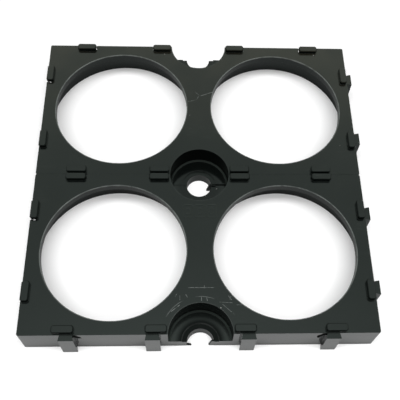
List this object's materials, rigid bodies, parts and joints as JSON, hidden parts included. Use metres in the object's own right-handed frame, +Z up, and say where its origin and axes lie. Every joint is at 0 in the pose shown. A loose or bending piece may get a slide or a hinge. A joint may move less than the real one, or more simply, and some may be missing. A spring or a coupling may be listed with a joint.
{
  "type": "battery cell holder bracket",
  "caption": "Flat moulded holder for round battery cells: lipped seats in rows, dovetails and raised pads round the edge, and sunk bolt holes between the cells.",
  "frame": {"origin": "on the axis of the bolt hole shared by the two mouldings, in the plane of the underside", "axes": "+Z up out of the face with the windows and pads, +X along the long edges towards the side with tongues, +Y from the tongued long edge to the socketed one"},
  "size_m": [0.0853, 0.0854, 0.0105],
  "materials": {
    "bracket": "satin black moulded ABS"
  },
  "bodies": {
    "root": {"front_bracket": "bracket", "rear_bracket": "bracket"}
  },
  "joints": []
}
